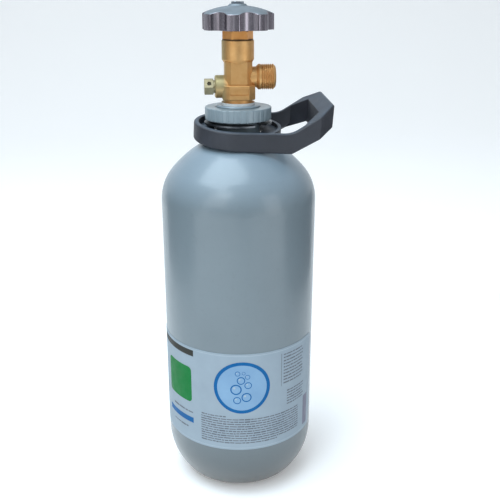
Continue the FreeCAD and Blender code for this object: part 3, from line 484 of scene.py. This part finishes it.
def print_layer(name, shapes, layer, material):
    """Ink on the label: each shape is an outline, then the outlines of its holes.

    Every shape becomes a thin closed solid that is bent round the barrel, layer films of ink above it.
    """
    bm = bmesh.new()
    for loops in shapes:
        edges = []
        for loop in loops:
            corners = [bm.verts.new((x, 0, y)) for x, y in loop]
            for first, second in zip(corners, corners[1:] + corners[:1]):
                edges.append(bm.edges.new((first, second)))
        bmesh.ops.triangle_fill(bm, edges=edges, use_beauty=True, use_dissolve=True, normal=(0, -1, 0))
    spots = [vert.co.x for vert in bm.verts]
    cut = math.ceil(min(spots) / PRINT_FACET) * PRINT_FACET
    while cut < max(spots):
        everything = bm.verts[:] + bm.edges[:] + bm.faces[:]
        bmesh.ops.bisect_plane(bm, geom=everything, plane_co=(cut, 0, 0), plane_no=(1, 0, 0))
        cut += PRINT_FACET
    grown = bmesh.ops.extrude_face_region(bm, geom=bm.faces[:])
    for item in grown["geom"]:
        if isinstance(item, bmesh.types.BMVert):
            item.co.y = 1
    for vert in bm.verts:
        lift = INK * (layer + vert.co.y)
        vert.co = on_barrel(vert.co.x, vert.co.z, lift)
    bmesh.ops.recalc_face_normals(bm, faces=bm.faces[:])
    mesh = bpy.data.meshes.new(name)
    bm.to_mesh(mesh)
    bm.free()
    mesh.materials.append(material)
    piece = bpy.data.objects.new(name, mesh)
    bpy.context.scene.collection.objects.link(piece)
    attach(piece, "cylinder")


def greeked_line(rng, left, right, base, tall):
    """A line of print that says nothing: small blocks of word length along a base line."""
    words = []
    along = left
    while along < right - tall:
        length = min(rng.uniform(WORD_SHORTEST, WORD_LONGEST) * tall, right - along)
        low = base - (DESCENDER * tall if rng.random() < DESCENDER_SHARE else 0)
        high = base + tall * rng.uniform(WORD_LOWEST, WORD_HIGHEST)
        words.append([rectangle(along, low, along + length, high)])
        along += length + WORD_GAP * tall
    return words


def greeked_print():
    """All the small print: a heading, a paragraph, two ragged columns, two side lines and a rule."""
    rng = random.Random(PRINT_SEED)
    lines = greeked_line(rng, *HEADING)
    base = PARAGRAPH_TOP
    while base > PARAGRAPH_LOW:
        right = PARAGRAPH_RIGHT if base > LAST_LINE else LAST_LINE_RIGHT
        lines += greeked_line(rng, PARAGRAPH_LEFT, right, base, PARAGRAPH_TALL)
        base -= PARAGRAPH_PITCH
    for left, right, ragged, top, pitch, tall, count in COLUMNS:
        for index in range(count):
            end = right - ragged * rng.random()
            lines += greeked_line(rng, left, end, top - pitch * index, tall)
    for line in SIDE_LINES:
        lines += greeked_line(rng, *line)
    lines.append([rectangle(*COLUMN_RULE)])
    return lines


def border_outline(inset, corner):
    """The label's outline, drawn in by inset."""
    left, right = LABEL_ENDS
    low, high = LABEL_LOW[2] / MM, LABEL_HIGH[2] / MM
    return rounded_rectangle(left + inset, low + inset, right - inset, high - inset, corner)


def print_label():
    """A border, a dark band, a rounded square, a stripe, a round badge of bubbles and greeked print."""
    outside = border_outline(BORDER_INSET, BORDER_CORNER)
    inside = border_outline(BORDER_INSET + BORDER_LINE, BORDER_CORNER - BORDER_LINE)
    pale = film("pale_ink", srgb(154, 168, 179), srgb(160, 174, 184))
    print_layer("label_border", [[outside, inside]], 1, pale)

    dark = film("dark_ink", srgb(44, 44, 40), srgb(54, 54, 50))
    green = film("green_ink", srgb(4, 106, 46), srgb(10, 114, 54))
    blue = film("blue_ink", srgb(6, 84, 140), srgb(14, 92, 148))
    sky = film("sky_ink", srgb(116, 150, 182), srgb(126, 160, 190))
    grey = film("grey_ink", srgb(92, 98, 106), srgb(102, 108, 116))
    violet = film("violet_ink", srgb(112, 112, 128), srgb(120, 120, 136))

    print_layer("label_strip", [[rectangle(*STRIP)]], 1, dark)
    square = rounded_rectangle(
        SQUARE_X - SQUARE_HALF,
        SQUARE_Y - SQUARE_HALF,
        SQUARE_X + SQUARE_HALF,
        SQUARE_Y + SQUARE_HALF,
        SQUARE_CORNER,
    )
    print_layer("label_square", [[square]], 1, green)
    print_layer("label_stripe", [[rectangle(*STRIPE)]], 1, blue)

    outer = circle(BADGE_X, BADGE_Y, BADGE_RADIUS)
    inner = circle(BADGE_X, BADGE_Y, BADGE_RADIUS - BADGE_LINE)
    print_layer("label_badge_ring", [[outer, inner]], 1, blue)
    print_layer("label_badge_centre", [[inner]], 1, sky)
    bubbles, glints = [], []
    for along, up, radius in BUBBLES:
        x, y = BADGE_X + along, BADGE_Y + up
        rim = circle(x, y, radius, BUBBLE_COUNT)
        hole = circle(x, y, radius * BUBBLE_HOLE, BUBBLE_COUNT)
        bubbles.append([rim, hole])
        shift = radius * GLINT_SHIFT
        glints.append([circle(x - shift, y + shift, radius * GLINT_SIZE, GLINT_COUNT)])
    print_layer("label_badge_bubbles", bubbles, 2, blue)
    print_layer("label_badge_glints", glints, 2, pale)

    print_layer("label_print", greeked_print(), 1, grey)
    print_layer("label_panel", [[rounded_rectangle(*PANEL, PANEL_CORNER)]], 1, violet)


# ---------------------------------------------------------------- stage, light and camera


def make_camera():
    data = bpy.data.cameras.new("camera")
    data.sensor_width = CAMERA_SENSOR
    data.lens = CAMERA_LENS
    data.clip_start = 0.01
    data.clip_end = 20.0
    camera = bpy.data.objects.new("camera", data)
    camera.location = CAMERA_PLACE
    camera.rotation_euler = (math.radians(90 - CAMERA_DIP), 0, math.radians(CAMERA_TURN))
    bpy.context.scene.collection.objects.link(camera)
    bpy.context.scene.camera = camera


def aim(thing, place, target):
    """Stand a light or a card at place, facing target."""
    thing.location = place
    thing.rotation_mode = "QUATERNION"
    thing.rotation_quaternion = (Vector(target) - Vector(place)).to_track_quat("-Z", "Y")
    bpy.context.scene.collection.objects.link(thing)


def area_light(name, place, target, size, power, colour):
    data = bpy.data.lights.new(name, "AREA")
    data.shape = "RECTANGLE"
    data.size, data.size_y = size
    data.energy = power
    data.color = colour
    aim(bpy.data.objects.new(name, data), place, target)


def sheet_mesh(name, rows, material):
    """A mesh of quads from rows of points."""
    width = len(rows[0])
    faces = []
    for row in range(len(rows) - 1):
        for column in range(width - 1):
            corner = row * width + column
            faces.append((corner, corner + 1, corner + width + 1, corner + width))
    mesh = bpy.data.meshes.new(name)
    mesh.from_pydata([point for row in rows for point in row], [], faces)
    mesh.polygons.foreach_set("use_smooth", [True] * len(mesh.polygons))
    mesh.materials.append(material)
    return bpy.data.objects.new(name, mesh)


def make_backdrop():
    """A pale floor that sweeps up into a wall behind the object."""
    paint = Paint("backdrop_paint")
    cloud = paint.noise(3.0)
    paint.colour(paint.mix(cloud, (0.90, 0.90, 0.90), (0.93, 0.93, 0.93)))
    paint.set(Roughness=0.9, Specular_IOR_Level=0.2)
    paint.set(Emission_Strength=BACKDROP_GLOW, Emission_Color=(1, 1, 1, 1))
    profile = [(FLOOR_FRONT, 0.0), (SWEEP_START, 0.0)]
    for step in range(1, SWEEP_STEPS + 1):
        angle = math.pi / 2 * step / SWEEP_STEPS
        across = SWEEP_START + SWEEP_RADIUS * math.sin(angle)
        profile.append((across, SWEEP_RADIUS * (1 - math.cos(angle))))
    profile.append((SWEEP_START + SWEEP_RADIUS, WALL_TOP))
    rows = [[(-FLOOR_HALF_WIDTH, y, z), (FLOOR_HALF_WIDTH, y, z)] for y, z in profile]
    backdrop = sheet_mesh("backdrop", rows, paint.material)
    bpy.context.scene.collection.objects.link(backdrop)


def dark_card(name, place, target, size):
    """A card out of the camera's sight: it holds back the light that the floor and wall throw back."""
    paint = Paint(name + "_paint")
    paint.colour(paint.mix(paint.noise(4.0), (0.05, 0.05, 0.06), (0.08, 0.08, 0.09)))
    paint.set(Roughness=0.9)
    across, up = size[0] / 2, size[1] / 2
    rows = [[(-across, -up, 0), (across, -up, 0)], [(-across, up, 0), (across, up, 0)]]
    card = sheet_mesh(name, rows, paint.material)
    card.visible_camera = False
    card.visible_shadow = False
    aim(card, place, target)


def make_world():
    """A soft sky: bright overhead and darker towards the horizon."""
    world = bpy.data.worlds.new("studio")
    world.use_nodes = True
    tree = world.node_tree
    background = tree.nodes["Background"]
    where = tree.nodes.new("ShaderNodeTexCoord")
    split = tree.nodes.new("ShaderNodeSeparateXYZ")
    ramp = tree.nodes.new("ShaderNodeValToRGB")
    horizon, overhead = ramp.color_ramp.elements
    horizon.position, horizon.color = 0.0, SKY_HORIZON
    overhead.position, overhead.color = SKY_OVERHEAD_AT, SKY_OVERHEAD
    tree.links.new(where.outputs["Generated"], split.inputs["Vector"])
    tree.links.new(split.outputs["Z"], ramp.inputs["Fac"])
    tree.links.new(ramp.outputs["Color"], background.inputs["Color"])
    background.inputs["Strength"].default_value = SKY_STRENGTH
    bpy.context.scene.world = world


def make_studio():
    bpy.context.scene.view_settings.view_transform = "Standard"
    make_world()
    make_backdrop()
    for light in LIGHTS:
        area_light(*light)
    for card in CARDS:
        dark_card(*card)


finish_cad_nodes()
print_label()
make_camera()
make_studio()
